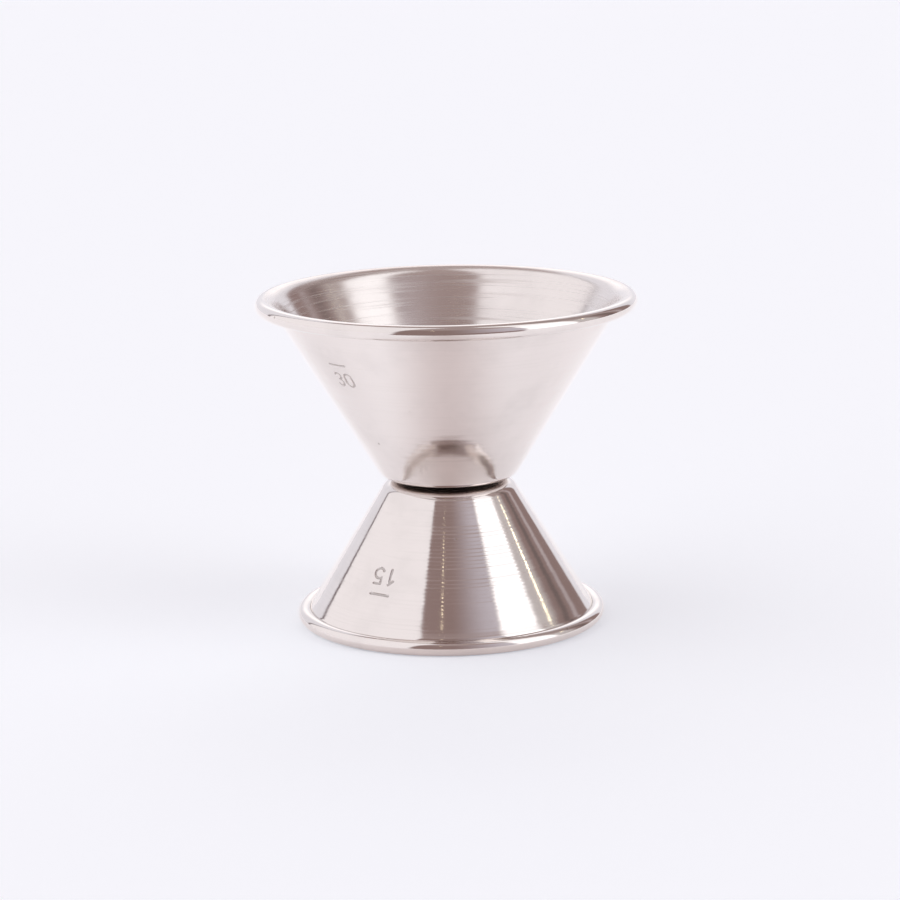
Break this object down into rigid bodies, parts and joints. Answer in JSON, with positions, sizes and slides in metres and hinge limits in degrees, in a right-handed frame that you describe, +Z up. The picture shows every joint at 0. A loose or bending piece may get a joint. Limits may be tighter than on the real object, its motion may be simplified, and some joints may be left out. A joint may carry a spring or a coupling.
{
  "type": "bar jigger",
  "caption": "Double-ended bar jigger: two conical sheet-steel measuring cups with curled rims, spot-welded floor to floor.",
  "frame": {"origin": "on the axis, in the plane that the smaller cup's rim rests on", "axes": "+Z up the common axis through the larger cup's mouth, +X to the right of the front, +Y to the back"},
  "size_m": [0.0572, 0.0572, 0.0498],
  "materials": {
    "upper_steel": "spun stainless sheet, satin with fine circumferential lines",
    "lower_steel": "spun stainless sheet, bright with fine circumferential lines",
    "weld_steel": "fused steel of the resistance spot welds"
  },
  "bodies": {
    "root": {"upper_cup": "upper_steel", "lower_cup": "lower_steel", "spot_welds": "weld_steel"}
  },
  "joints": []
}
